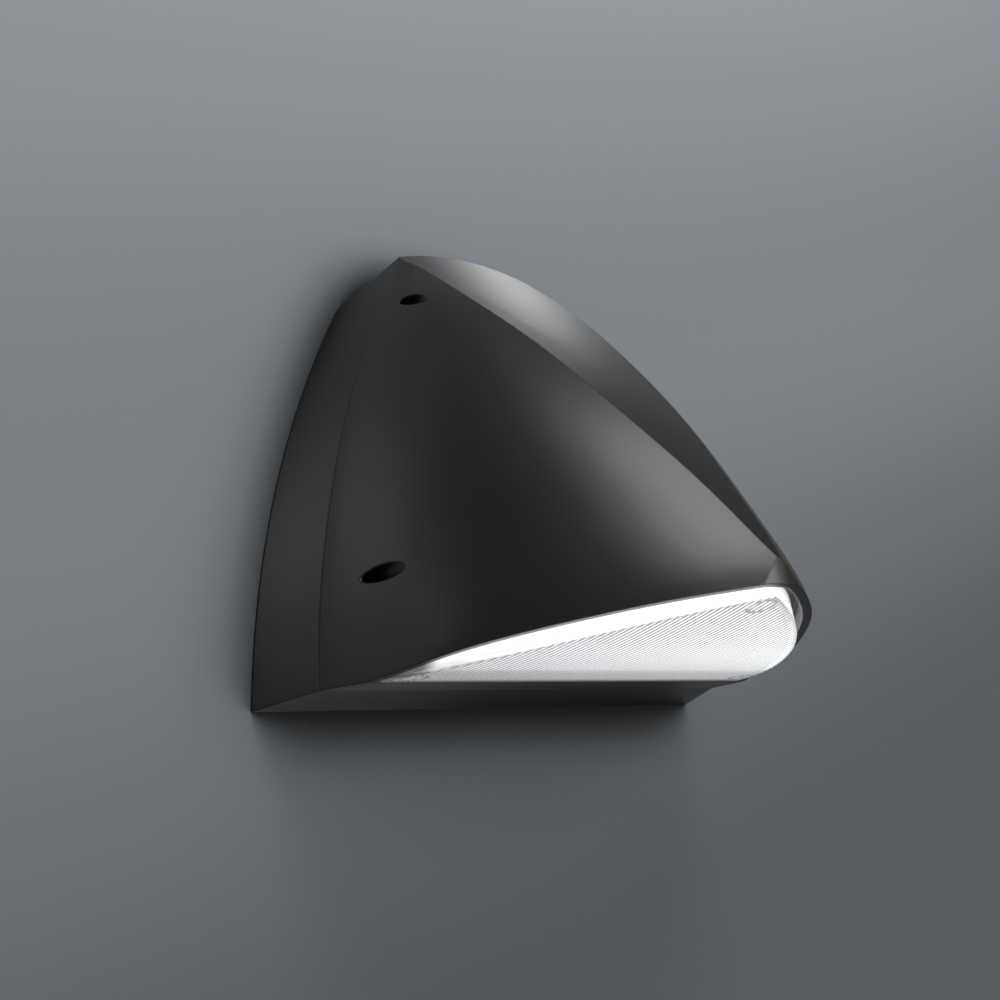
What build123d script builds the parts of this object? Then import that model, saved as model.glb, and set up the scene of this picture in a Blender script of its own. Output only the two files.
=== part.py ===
"""Wedge-shaped outdoor wall light: cast base, faceted hood, ribbed lens and what they hold.

Everything is drawn as seen on the wall. x runs across, z is the height above the base's
bottom edge, and t is the distance out from the wall, so y = -t. The finished pieces are
lowered by FIXING_HEIGHT, which puts the origin at the centre of the four wall fixings.
Lengths are millimetres.
"""

import os
from math import asin, atan, cos, hypot, pi, radians, sin, sqrt, tan

from build123d import *

# Base, where it meets the wall
WALL_HALF_BOTTOM = 100.0
WALL_HALF_TOP = 45.0
WALL_CREST = 170.3
WALL_BOW = 8.8
WALL_CORNER = 6.0

# Base, where it meets the hood
PART_DEPTH = 26.7
BASE_FLARE = 10.6
PART_HALF_BOTTOM = WALL_HALF_BOTTOM - BASE_FLARE
PART_HALF_TOP = 31.5
PART_CREST = 176.65
PART_BOW = 9.2
PART_CORNER = 2.0

# Base walls, the shelf under the hood and the wall fixings
BASE_WALL = 3.0
BACK_WALL = 3.0
RIM_WIDTH = 6.5
RIM_THICKNESS = 4.5
SHELF_DEPTH = 48.0
SHELF_DROP = 3.0
SHELF_THICKNESS = 3.0
SHELF_LIP_TOP = 3.5
FIXING_SPACING_X = 100.0
FIXING_SPACING_Z = 80.0
FIXING_HEIGHT = 85.0
FIXING_RADIUS = 2.75
FIXING_BOSS_RADIUS = 7.0
FIXING_BOSS_HEIGHT = 2.5

# Hood: two bulging side facets, a crowned centre facet and a rounded nose
HOOD_WALL = 3.0
NOSE_DEPTH = 150.0
NOSE_RADIUS = 23.0
NOSE_HALF = 13.0
NOSE_EDGE_DROP = 0.5
NOSE_RELIEF = 0.8
APEX_HEIGHT = 5.6
KEEL_HALF = 0.8
KEEL_PAST_NOSE = 0.913
SIDE_LEAN = radians(8.5)
SIDE_SWEEP = 2 * (atan((PART_HALF_BOTTOM - KEEL_HALF) / (NOSE_DEPTH + KEEL_PAST_NOSE - PART_DEPTH))
                  - SIDE_LEAN)
SIDE_LEVELS = (-0.06, 0.16, 0.35, 0.53, 0.7, 0.86, 0.97, 1.08)
CREASE_TOP_HALF = 31.1
CREASE_BOW = 8.6
TOP_ROUND = 3.6
CROWN_RADIUS = 110.0
CROWN_EDGE = 39.0
CROWN_STEPS = 8
CREST_BEND_DEPTH = 98.0
CREST_BEND_HEIGHT = 104.5
CREST_PAST_NOSE = 1.3
HOOD_FLANGE_THICKNESS = 3.0
FLANGE_FOOT_GAP = 1.0
JOINT_GAP = 0.3

# Hood screws, their sleeves and their access holes
HOOD_SCREW_TOP_X = 40.0
HOOD_SCREW_TOP_Z = 142.7
HOOD_SCREW_LOW_SIDE = 12.6
HOOD_SCREW_LOW_Z = 31.5
ACCESS_RADIUS = 3.0
SLEEVE_RADIUS = 6.0
SLEEVE_SEAT = 3.0
HOOD_SCREW_RADIUS = 1.5
HOOD_SCREW_HEAD_RADIUS = 2.75
HOOD_SCREW_HEAD_HEIGHT = 3.0
HOOD_SCREW_LENGTH = 14.0
RETAINER_RADIUS = 3.2
RETAINER_THICKNESS = 1.0
SCREW_CLEARANCE = 0.08
HOLE_CLEARANCE = 0.25
SCREW_BLIND = 1.0
SCREW_TIP_GAP = 0.5

# Seals
GASKET_INSET = 0.8
GASKET_WIDTH = 1.4
GASKET_DEPTH = 1.5
WALL_GASKET_INSET = 5.0
SHELF_GASKET_THICKNESS = 0.8
SHELF_GASKET_SIDE = 11.4
LENS_GASKET_THICKNESS = 1.0
LENS_GASKET_WIDTH = 3.6

# Lens
LENS_TOP = 3.5
LENS_WALL = 2.0
LENS_GAP = 0.5
LENS_BELLY_NOSE_GAP = 52.0
LENS_BELLY_DEPTH = NOSE_DEPTH - LENS_BELLY_NOSE_GAP
LENS_BELLY_DROP = 6.5
LENS_BELLY_RADIUS = 359.0
LENS_BELLY_TURN = 11.0
LENS_FLANGE_WIDTH = 4.6
RIB_PITCH = 2.1
RIB_HEIGHT = 0.45
RIB_COUNT = 84
LENS_BOSS_RADIUS = 4.4
LENS_SCREW_SIDE = 16.4
LENS_SCREW_REAR_DEPTH = 58.0
LENS_SCREW_NOSE_GAP = 11.0
LENS_SCREW_RADIUS = 1.5
LENS_SCREW_HEAD_RADIUS = 2.8
LENS_SCREW_HEAD_HEIGHT = 2.0
LENS_SCREW_BITE = 5.5
LEDGE_THICKNESS = 1.6
LEDGE_WIDTH = 8.5

# Lamp unit: bracket, board, emitters and reflector
BRACKET_BOTTOM = 15.0
BRACKET_STANDOFF = 3.0
BRACKET_THICKNESS = 3.0
BRACKET_LEG_HEIGHT = 34.0
BRACKET_LEG_HALF = 36.0
BRACKET_NOSE_GAP = 28.0
BRACKET_REACH = NOSE_DEPTH - BRACKET_NOSE_GAP
BRACKET_SIDE_GAP = 9.0
FIN_COUNT = 5
FIN_PITCH = 13.0
FIN_HEIGHT = 9.0
FIN_THICKNESS = 2.0
FIN_START = 40.0
FIN_SHORT = 24.0
FIN_END = BRACKET_REACH - FIN_SHORT
BRACKET_SCREW_X = 24.0
BRACKET_SCREW_RISE = 25.0
BOARD_THICKNESS = 1.6
BOARD_START = 44.0
BOARD_SHORT = 6.0
BOARD_END = BRACKET_REACH - BOARD_SHORT
BOARD_SIDE_GAP = 13.0
REFLECTOR_THICKNESS = 1.2
REFLECTOR_START = 34.0
REFLECTOR_SIDE_GAP = 5.0
EMITTER_SIZE = 3.0
EMITTER_HEIGHT = 0.7
EMITTER_WINDOW = 4.4
EMITTER_PITCH = 21.0
EMITTER_NOSE_PITCH = 16.0
EMITTER_ROWS = ((1 / 6, 5, EMITTER_PITCH), (5 / 12, 4, EMITTER_PITCH),
                (2 / 3, 3, EMITTER_PITCH), (8 / 9, 2, EMITTER_NOSE_PITCH))
BOARD_SCREW_REAR_X = 30.0
BOARD_SCREW_REAR_SHARE = 7 / 24
BOARD_SCREW_NOSE_X = 10.5
BOARD_SCREW_NOSE_SHARE = 7 / 9

# Driver, its case and its ears
DRIVER_HALF = 38.0
DRIVER_RISE = 9.0
DRIVER_HEIGHT = BRACKET_BOTTOM + BRACKET_LEG_HEIGHT + DRIVER_RISE
DRIVER_TALL = 30.0
DRIVER_STANDOFF = 2.0
DRIVER_DEPTH = 22.0
DRIVER_WALL = 1.6
DRIVER_LID = 1.6
EAR_REACH = 9.0
EAR_THICKNESS = 2.0
TRANSFORMER_HALF = 8.0
TRANSFORMER_TALL = 12.0
CAPACITOR_X = 18.0
CAPACITOR_TALL = 11.0
CAPACITOR_RADIUS = 5.0

# Terminal block, cord grip, entry and earth stud
TERMINAL_HALF = 15.0
TERMINAL_RISE = 11.0
TERMINAL_HEIGHT = DRIVER_HEIGHT + DRIVER_TALL + TERMINAL_RISE
TERMINAL_TALL = 12.0
TERMINAL_DEPTH = 12.0
TERMINAL_PITCH = 9.0
TERMINAL_BORE = 1.6
TERMINAL_SCREW_SUNK = 1.0
CLAMP_RISE = 6.5
CLAMP_HEIGHT = TERMINAL_HEIGHT + TERMINAL_TALL + CLAMP_RISE
CLAMP_HALF = 12.0
CLAMP_SCREW_X = 8.5
CLAMP_BAR = 6.0
CLAMP_THICKNESS = 2.5
CLAMP_GAP = 7.0
ENTRY_RISE = 20.5
ENTRY_HEIGHT = CLAMP_HEIGHT + ENTRY_RISE
ENTRY_RADIUS = 10.0
GROMMET_FLANGE_RADIUS = 12.5
GROMMET_FLANGE = 1.5
CABLE_RADIUS = 4.0
EARTH_X = 28.0
EARTH_RISE = 9.0
EARTH_HEIGHT = TERMINAL_HEIGHT + EARTH_RISE
EARTH_WASHER_RADIUS = 5.0
EARTH_WASHER_THICKNESS = 1.2
EARTH_LEAD_DROP = 4.0
EARTH_LEAD_DIP_GAP = 2.5
SUPPLY_LEAD_DEPTH = 9.0
LED_LEAD_X = 6.5
LED_LEAD_DEPTH = 16.0
LED_LEAD_DROP = 18.0
LED_LEAD_SAG = 2.0
LED_LEAD_BOARD_GAP = 6.0

# Small fasteners and wires
M4_RADIUS = 2.0
M4_HEAD_RADIUS = 3.8
M4_HEAD_HEIGHT = 2.6
M3_RADIUS = 1.5
M3_HEAD_RADIUS = 2.8
M3_HEAD_HEIGHT = 1.8
SOCKET_SIZE = 0.5
SOCKET_DEPTH = 0.6
BOSS_RADIUS = 4.0
WIRE_RADIUS = 1.0
BEND_SHARE = 0.45

# Half width and overlap of the plain blocks that cut the shapes
CUT_HALF = 1.2 * WALL_HALF_BOTTOM
CUT_OVER = 1.0

# Corners smaller than this are left sharp
SHARP_CORNER = 0.2


def block(x0, x1, t0, t1, z0, z1):
    """A box between limits across, out of the wall and up."""
    return Pos((x0 + x1) / 2, -(t0 + t1) / 2, (z0 + z1) / 2) * Box(x1 - x0, t1 - t0, z1 - z0)


def peg(x, z, t0, t1, radius):
    """A round bar that stands out of the wall."""
    return Plane.XZ.offset(t0) * Pos(x, z) * extrude(Circle(radius), t1 - t0)


def post(x, t, z0, z1, radius):
    """An upright round bar."""
    return Pos(x, -t, z0) * extrude(Circle(radius), z1 - z0)


def both_sides(points):
    """Each point with its mirror image."""
    return [(side * x, other) for x, other in points for side in (-1, 1)]


def arc_bow_centre(start, end, bow):
    """Centre and radius of the arc from start to end that stands off its chord by bow."""
    chord = hypot(end[0] - start[0], end[1] - start[1])
    radius = (chord ** 2 / 4 + bow ** 2) / (2 * bow)
    out = ((end[1] - start[1]) / chord, (start[0] - end[0]) / chord)
    middle = ((start[0] + end[0]) / 2, (start[1] + end[1]) / 2)
    return (middle[0] - out[0] * (radius - bow), middle[1] - out[1] * (radius - bow)), radius


def crown_fall(x, radius=CROWN_RADIUS):
    """How far the crowned centre facet has fallen at x."""
    return radius - sqrt(radius ** 2 - x ** 2)


def body_outline(half_bottom, half_top, crest, bow, corner, inset=0.0):
    """Front view of the base: flat bottom, bowed sides, crowned top, rounded corners."""
    top = (half_top, crest - crown_fall(half_top))
    centre, radius = arc_bow_centre((half_bottom, 0), top, bow)
    middle_z = top[1] / 2
    middle = (centre[0] + sqrt(radius ** 2 - (middle_z - centre[1]) ** 2), middle_z)
    edges = [
        Line((-half_bottom, 0), (half_bottom, 0)),
        ThreePointArc((half_bottom, 0), middle, top),
        ThreePointArc(top, (0, crest), (-top[0], top[1])),
        ThreePointArc((-top[0], top[1]), (-middle[0], middle[1]), (-half_bottom, 0)),
    ]
    face = Sketch() + make_face(edges)
    if inset:
        face = offset(face, -inset, kind=Kind.INTERSECTION)
    if corner - inset > SHARP_CORNER:
        face = fillet(face.vertices().group_by(Axis.Y)[-1], corner - inset)
    return face


def wall_outline(inset=0.0):
    return body_outline(WALL_HALF_BOTTOM, WALL_HALF_TOP, WALL_CREST, WALL_BOW, WALL_CORNER, inset)


def part_outline(inset=0.0):
    return body_outline(PART_HALF_BOTTOM, PART_HALF_TOP, PART_CREST, PART_BOW, PART_CORNER, inset)


def part_half_width(z):
    """Half width of the parting outline at height z."""
    top = (PART_HALF_TOP, PART_CREST - crown_fall(PART_HALF_TOP))
    centre, radius = arc_bow_centre((PART_HALF_BOTTOM, 0), top, PART_BOW)
    return centre[0] + sqrt(radius ** 2 - (z - centre[1]) ** 2)


def crease_half_width(z):
    """Half width of the centre facet at height z."""
    top = PART_CREST - crown_fall(PART_HALF_TOP)
    share = (z - APEX_HEIGHT) / (top - APEX_HEIGHT)
    return CREASE_TOP_HALF * share + CREASE_BOW * share * (1 - share)


def side_plan(z, inset=0.0):
    """Plan of the two side facets at height z, run on to a keel past the creases."""
    half = part_half_width(z)
    last = SIDE_LEAN + SIDE_SWEEP
    crease = max(crease_half_width(z), KEEL_HALF + inset * cos(last))
    radius = max((half - crease) / (cos(SIDE_LEAN) - cos(last)), TOP_ROUND + inset)
    centre = (half - radius * cos(SIDE_LEAN), radius * sin(SIDE_LEAN) - PART_DEPTH)
    inner = radius - inset
    turns = [SIDE_LEAN + SIDE_SWEEP * step / 3 for step in range(4)]
    arc = [(centre[0] + inner * cos(turn), centre[1] - inner * sin(turn)) for turn in turns]
    run_on = PART_DEPTH / 2
    back = (arc[0][0] + run_on * sin(SIDE_LEAN), arc[0][1] + run_on * cos(SIDE_LEAN))
    keel = (0, arc[-1][1] - arc[-1][0] / tan(last))
    right = [back, *arc, keel]
    left = [(-x, y) for x, y in reversed(right)]
    return make_face([
        Line(left[-1], right[0]),
        Spline(*right, tangents=[(-sin(SIDE_LEAN), -cos(SIDE_LEAN)), (-sin(last), -cos(last))]),
        Spline(*left, tangents=[(-sin(last), cos(last)), (-sin(SIDE_LEAN), cos(SIDE_LEAN))]),
    ])


def nose_plan(inset=0.0):
    """Plan that rounds the nose and leaves the side facets alone."""
    half = NOSE_HALF - inset / 2
    centre = NOSE_DEPTH - NOSE_RADIUS
    radius = NOSE_RADIUS - inset
    foot = -(centre + sqrt(radius ** 2 - half ** 2))
    back = foot + (CUT_HALF - half) * tan(pi / 2 - SIDE_LEAN - SIDE_SWEEP) * NOSE_RELIEF
    return make_face([
        ThreePointArc((half, foot), (0, -centre - radius), (-half, foot)),
        Line((-half, foot), (-CUT_HALF, back)),
        Line((-CUT_HALF, back), (-CUT_HALF, 0)),
        Line((-CUT_HALF, 0), (CUT_HALF, 0)),
        Line((CUT_HALF, 0), (CUT_HALF, back)),
        Line((CUT_HALF, back), (half, foot)),
    ])


def crest_point(share, inset=0.0):
    """Point (t, z) on the centre facet's middle line, moved in by inset."""
    start = (PART_DEPTH, PART_CREST)
    point = [(1 - share) ** 2 * a + 2 * share * (1 - share) * b + share ** 2 * c
             for a, b, c in zip(start, CREST_BEND, CREST_END)]
    slope = [2 * (1 - share) * (b - a) + 2 * share * (c - b)
             for a, b, c in zip(start, CREST_BEND, CREST_END)]
    length = hypot(*slope)
    return point[0] + inset * slope[1] / length, point[1] - inset * slope[0] / length


def crown_section(share, inset=0.0):
    """Section across the hood under the crowned centre facet."""
    t, crest = crest_point(share, inset)
    radius = CROWN_RADIUS - inset
    low = -WALL_CREST
    shoulder = crest - crown_fall(CROWN_EDGE, radius)
    skirt = shoulder - (CUT_HALF - CROWN_EDGE) * tan(asin(CROWN_EDGE / radius))
    return Plane.XZ.offset(t) * make_face([
        Line((-CUT_HALF, low), (CUT_HALF, low)),
        Line((CUT_HALF, low), (CUT_HALF, skirt)),
        Line((CUT_HALF, skirt), (CROWN_EDGE, shoulder)),
        ThreePointArc((CROWN_EDGE, shoulder), (0, crest), (-CROWN_EDGE, shoulder)),
        Line((-CROWN_EDGE, shoulder), (-CUT_HALF, skirt)),
        Line((-CUT_HALF, skirt), (-CUT_HALF, low)),
    ])


def hood_form(inset=0.0):
    """The hood as one solid lump, open to nothing, moved in by inset."""
    levels = [level * (PART_CREST - crown_fall(PART_HALF_TOP)) for level in SIDE_LEVELS]
    sides = loft([Pos(0, 0, level) * side_plan(level, inset) for level in levels])
    crown = loft([crown_section(step / CROWN_STEPS, inset) for step in range(-1, CROWN_STEPS + 2)])
    nose = Pos(0, 0, -WALL_CREST) * extrude(nose_plan(inset), 2.5 * WALL_CREST)
    return sides & crown & nose


def below_hood():
    """Everything under the hood's lower edge."""
    far = CREST_END[0] + NOSE_RADIUS
    deep = -WALL_HALF_BOTTOM
    profile = make_face(Polyline(
        (-PART_DEPTH / 2, 0), (-PART_DEPTH, 0), (-SHELF_DEPTH, -SHELF_DROP),
        (-NOSE_DEPTH, -NOSE_EDGE_DROP), (-far, -NOSE_EDGE_DROP), (-far, deep),
        (-PART_DEPTH / 2, deep), close=True))
    return across(profile, CUT_HALF)


def across(profile, half):
    """Extrude a side-view profile, drawn as (y, z), across the light."""
    return Plane.YZ.offset(-half) * extrude(profile, 2 * half)


def hood_plan(z, inset):
    """Plan inside the hood at height z, with the nose rounded."""
    return Sketch() + side_plan(z, inset) & Sketch() + nose_plan(inset)


def slab(plan, z0, z1):
    return Pos(0, 0, z0) * extrude(plan, z1 - z0)


def outward(t0, t1=NOSE_DEPTH + NOSE_RADIUS):
    """All the space between two distances from the wall."""
    return block(-CUT_HALF, CUT_HALF, t0, t1, -WALL_CREST, 2 * WALL_CREST)


def above(z):
    return block(-CUT_HALF, CUT_HALF, -PART_DEPTH, 2 * NOSE_DEPTH, z, 2 * WALL_CREST)


def ring(outer, inner, t0, t1):
    """A frame between two front-view outlines."""
    return Plane.XZ.offset(t0) * extrude(outer - inner, t1 - t0)


def save(name, *solids):
    """Write one piece, or one group of like pieces, about the wall fixings' centre."""
    shape = solids[0] if len(solids) == 1 else Compound(children=list(solids))
    export_step(Pos(0, 0, -FIXING_HEIGHT) * shape, f"parts/{name}.step")


def fixing_points():
    return [(x, FIXING_HEIGHT + z) for x in (-FIXING_SPACING_X / 2, FIXING_SPACING_X / 2)
            for z in (-FIXING_SPACING_Z / 2, FIXING_SPACING_Z / 2)]


def board_depth(share):
    """Distance from the wall at a share of the lamp board's length."""
    return BOARD_START + share * (BOARD_END - BOARD_START)


CREST_BEND = (CREST_BEND_DEPTH, CREST_BEND_HEIGHT)
CREST_END = (NOSE_DEPTH + CREST_PAST_NOSE, APEX_HEIGHT)
HOOD_SCREWS = both_sides([(HOOD_SCREW_TOP_X, HOOD_SCREW_TOP_Z),
                          (PART_HALF_BOTTOM - HOOD_SCREW_LOW_SIDE, HOOD_SCREW_LOW_Z)])
LENS_SCREWS = both_sides([(PART_HALF_BOTTOM - LENS_SCREW_SIDE, LENS_SCREW_REAR_DEPTH)])
LENS_SCREWS += [(0.0, NOSE_DEPTH - LENS_SCREW_NOSE_GAP)]
HEAD_SEAT = PART_DEPTH + SLEEVE_SEAT
LEDGE_BOTTOM = LENS_TOP + LENS_GASKET_THICKNESS
LEDGE_TOP = LEDGE_BOTTOM + LEDGE_THICKNESS
LENS_BACK = SHELF_DEPTH + SHELF_GASKET_THICKNESS
BOARD_BOTTOM = BRACKET_BOTTOM - BOARD_THICKNESS
REFLECTOR_BOTTOM = BOARD_BOTTOM - REFLECTOR_THICKNESS
DRIVER_BACK = BACK_WALL + DRIVER_STANDOFF
DRIVER_FRONT = DRIVER_BACK + DRIVER_DEPTH
DRIVER_MIDDLE = DRIVER_HEIGHT + DRIVER_TALL / 2
DRIVER_SCREWS = both_sides([(DRIVER_HALF - EAR_REACH / 2, DRIVER_MIDDLE)])
BRACKET_BACK = BACK_WALL + BRACKET_STANDOFF
BRACKET_SCREWS = both_sides([(BRACKET_SCREW_X, BRACKET_BOTTOM + BRACKET_SCREW_RISE)])
BOARD_SCREWS = both_sides([(BOARD_SCREW_REAR_X, board_depth(BOARD_SCREW_REAR_SHARE)),
                           (BOARD_SCREW_NOSE_X, board_depth(BOARD_SCREW_NOSE_SHARE))])
LED_LEAD_BOARD_DEPTH = BOARD_START + LED_LEAD_BOARD_GAP
CLAMP_SCREWS = both_sides([(CLAMP_SCREW_X, CLAMP_HEIGHT)])
CLAMP_BACK = BACK_WALL + CLAMP_GAP
EARTH_PAD = SUPPLY_LEAD_DEPTH - EARTH_WASHER_THICKNESS / 2
PADS = ((DRIVER_SCREWS, DRIVER_BACK, M3_RADIUS), (BRACKET_SCREWS, BRACKET_BACK, M3_RADIUS),
        (CLAMP_SCREWS, CLAMP_BACK, M3_RADIUS), ([(EARTH_X, EARTH_HEIGHT)], EARTH_PAD, M4_RADIUS))
TERMINAL_WAYS = (-TERMINAL_PITCH, 0.0, TERMINAL_PITCH)
HOOD_FLANGE_FOOT = RIM_WIDTH + FLANGE_FOOT_GAP


def make_back_housing():
    """Cast base: back wall, sloped sides, seal rim, shelf, bosses and holes."""
    front = Plane.XZ.offset(PART_DEPTH)
    outer = loft([Plane.XZ * wall_outline(), front * part_outline()], ruled=True)
    inner = loft([Plane.XZ * wall_outline(BASE_WALL), front * part_outline(BASE_WALL)], ruled=True)
    rim_back = PART_DEPTH - RIM_THICKNESS
    rim = outer & outward(rim_back, PART_DEPTH)
    rim -= (Plane.XZ.offset(rim_back - CUT_OVER)
            * extrude(part_outline(RIM_WIDTH), RIM_THICKNESS + 2 * CUT_OVER))
    housing = outer - (inner & outward(BACK_WALL)) + (rim & above(BASE_WALL))

    shelf = make_face(Polyline(
        (-rim_back, 0), (-PART_DEPTH, 0), (-SHELF_DEPTH, -SHELF_DROP),
        (-SHELF_DEPTH, SHELF_LIP_TOP), (-SHELF_DEPTH + SHELF_THICKNESS, SHELF_LIP_TOP),
        (-SHELF_DEPTH + SHELF_THICKNESS, SHELF_THICKNESS - SHELF_DROP),
        (-PART_DEPTH, BASE_WALL), (-rim_back, BASE_WALL), close=True))
    within = slab(hood_plan(SHELF_LIP_TOP, HOOD_WALL + JOINT_GAP), -SHELF_DEPTH, SHELF_DEPTH)
    housing += across(shelf, WALL_HALF_BOTTOM) & within

    for x, z in HOOD_SCREWS:
        housing += peg(x, z, BACK_WALL, PART_DEPTH, SLEEVE_RADIUS) & outer
    for x, z in fixing_points():
        housing += peg(x, z, BACK_WALL, BACK_WALL + FIXING_BOSS_HEIGHT, FIXING_BOSS_RADIUS)
    for points, top, _ in PADS:
        for x, z in points:
            housing += peg(x, z, BACK_WALL, top, BOSS_RADIUS)

    for x, z in HOOD_SCREWS:
        deep = HEAD_SEAT - HOOD_SCREW_LENGTH - SCREW_BLIND
        housing -= peg(x, z, deep, PART_DEPTH, HOOD_SCREW_RADIUS + SCREW_CLEARANCE)
        housing -= peg(x, z, PART_DEPTH - RETAINER_THICKNESS, PART_DEPTH,
                       RETAINER_RADIUS + HOLE_CLEARANCE)
    for x, z in fixing_points():
        housing -= peg(x, z, 0, BACK_WALL + FIXING_BOSS_HEIGHT, FIXING_RADIUS)
    for points, top, thread in PADS:
        for x, z in points:
            housing -= peg(x, z, SCREW_BLIND, top, thread + SCREW_CLEARANCE)
    housing -= peg(0, ENTRY_HEIGHT, 0, BACK_WALL, ENTRY_RADIUS)
    housing -= peg(0, ENTRY_HEIGHT, 0, GROMMET_FLANGE, GROMMET_FLANGE_RADIUS)
    return housing - make_hood_gasket() - make_wall_gasket()


def make_wall_gasket():
    """Seal in the back of the base, all the way round."""
    inner = WALL_GASKET_INSET + GASKET_WIDTH
    return ring(wall_outline(WALL_GASKET_INSET), wall_outline(inner), 0, GASKET_DEPTH)


def make_hood_gasket():
    """Seal in the base's rim, above the shelf."""
    seal = ring(part_outline(GASKET_INSET), part_outline(GASKET_INSET + GASKET_WIDTH),
                PART_DEPTH - GASKET_DEPTH, PART_DEPTH)
    return seal & above(HOOD_FLANGE_FOOT)


def make_shelf_gasket():
    """Strip between the shelf's lip and the lens."""
    half = PART_HALF_BOTTOM - SHELF_GASKET_SIDE
    return block(-half, half, SHELF_DEPTH, LENS_BACK, -SHELF_DROP / 2, LENS_TOP)


def make_ledge():
    """Flat frame inside the hood that the lens is screwed up to."""
    rear = LENS_BACK + LENS_GAP
    plan = hood_plan(LEDGE_BOTTOM, HOOD_WALL / 2)
    window = hood_plan(LEDGE_BOTTOM, HOOD_WALL + LEDGE_WIDTH)
    ledge = slab(plan, LEDGE_BOTTOM, LEDGE_TOP) & outward(rear)
    return ledge - (slab(window, LEDGE_BOTTOM, LEDGE_TOP) & outward(rear + LEDGE_WIDTH))


def make_hood():
    """Faceted cast hood: shell, seal flange, ledge round the lens and screw sleeves."""
    form = hood_form() & outward(PART_DEPTH)
    flange = ring(part_outline(), part_outline(RIM_WIDTH), PART_DEPTH,
                  PART_DEPTH + HOOD_FLANGE_THICKNESS)
    hood = form - hood_form(HOOD_WALL)
    hood += flange & above(HOOD_FLANGE_FOOT) & form
    hood += make_ledge() & form
    for x, z in HOOD_SCREWS:
        hood += peg(x, z, PART_DEPTH, NOSE_DEPTH, SLEEVE_RADIUS) & form
    for x, z in HOOD_SCREWS:
        hood -= peg(x, z, HEAD_SEAT, NOSE_DEPTH, ACCESS_RADIUS)
        hood -= peg(x, z, PART_DEPTH, HEAD_SEAT, HOOD_SCREW_RADIUS + SCREW_CLEARANCE)
    for x, t in LENS_SCREWS:
        hood -= post(x, t, LEDGE_BOTTOM, LEDGE_TOP, LENS_SCREW_RADIUS + SCREW_CLEARANCE)
    return hood - below_hood()


def lens_plan(inset=0.0):
    """Plan of the lens, moved in by inset."""
    edge = hood_plan(LENS_TOP, HOOD_WALL + LENS_GAP + inset)
    keep = Pos(0, -LENS_BACK - inset - NOSE_DEPTH) * Rectangle(4 * NOSE_DEPTH, 2 * NOSE_DEPTH)
    return edge & keep


def lens_belly(drop, ribs):
    """Everything above the lens's bellied underside, plain or ribbed."""
    low = -drop
    axis_height = low + LENS_BELLY_RADIUS
    half = RIB_COUNT * RIB_PITCH / 2
    if ribs:
        line = [(-half + step * RIB_PITCH / 2, low + (RIB_HEIGHT if step % 2 == 0 else 0))
                for step in range(2 * RIB_COUNT + 1)]
    else:
        line = [(-half, low), (half, low)]
    top = 3 * drop
    section = Plane.XZ.offset(LENS_BELLY_DEPTH) * make_face(
        Polyline(*line, (half, top), (-half, top), close=True))
    hinge = Axis((0, -LENS_BELLY_DEPTH, axis_height), (1, 0, 0))
    return revolve(section.rotate(hinge, -LENS_BELLY_TURN), hinge, 2 * LENS_BELLY_TURN)


def make_lens():
    """Clear tray: ribbed belly, upright edge, flange and three screw bosses."""
    low = -2 * LENS_BELLY_DROP
    body = slab(lens_plan(), low, LENS_TOP) & lens_belly(LENS_BELLY_DROP, True)
    room = slab(lens_plan(LENS_WALL), low, LENS_TOP - LENS_WALL)
    room += slab(lens_plan(LENS_FLANGE_WIDTH), low, LENS_TOP)
    room &= lens_belly(LENS_BELLY_DROP - LENS_WALL, False)
    bosses = [post(x, t, low, LENS_TOP, LENS_BOSS_RADIUS) for x, t in LENS_SCREWS]
    lens = body - room + (Part() + bosses & body)
    for x, t in LENS_SCREWS:
        lens -= post(x, t, LENS_TOP - LENS_SCREW_BITE, LENS_TOP, LENS_SCREW_RADIUS + SCREW_CLEARANCE)
    return lens


def make_lens_gasket():
    """Flat seal between the lens flange and the hood's ledge, holed for the screws."""
    seal = slab(lens_plan(LENS_GAP) - lens_plan(LENS_GAP + LENS_GASKET_WIDTH), LENS_TOP, LEDGE_BOTTOM)
    for x, t in LENS_SCREWS:
        seal -= post(x, t, LENS_TOP, LEDGE_BOTTOM, LENS_SCREW_RADIUS + HOLE_CLEARANCE)
    return seal


def wall_screw(x, z, tip, seat, head_height, radius, head_radius):
    """A screw driven towards the wall, its head outwards, with a hexagon socket."""
    body = peg(x, z, tip, seat, radius) + peg(x, z, seat, seat + head_height, head_radius)
    socket = RegularPolygon(head_radius * SOCKET_SIZE, 6)
    depth = head_height * SOCKET_DEPTH
    return body - Plane.XZ.offset(seat + head_height - depth) * Pos(x, z) * extrude(socket, depth)


def down_screw(x, t, tip, seat, head_height, radius, head_radius):
    """A screw driven downwards, its head on top."""
    body = post(x, t, tip, seat, radius) + post(x, t, seat, seat + head_height, head_radius)
    socket = RegularPolygon(head_radius * SOCKET_SIZE, 6)
    depth = head_height * SOCKET_DEPTH
    return body - Pos(x, -t, seat + head_height - depth) * extrude(socket, depth)


def up_screw(x, t, tip, seat, head_height, radius, head_radius):
    """A screw driven upwards, its head underneath."""
    return post(x, t, seat, tip, radius) + post(x, t, seat - head_height, seat, head_radius)


def make_hood_screws():
    return [wall_screw(x, z, HEAD_SEAT - HOOD_SCREW_LENGTH, HEAD_SEAT, HOOD_SCREW_HEAD_HEIGHT,
                       HOOD_SCREW_RADIUS, HOOD_SCREW_HEAD_RADIUS) for x, z in HOOD_SCREWS]


def make_screw_retainers():
    return [peg(x, z, PART_DEPTH - RETAINER_THICKNESS, PART_DEPTH, RETAINER_RADIUS)
            - peg(x, z, PART_DEPTH - RETAINER_THICKNESS, PART_DEPTH, HOOD_SCREW_RADIUS)
            for x, z in HOOD_SCREWS]


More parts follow.
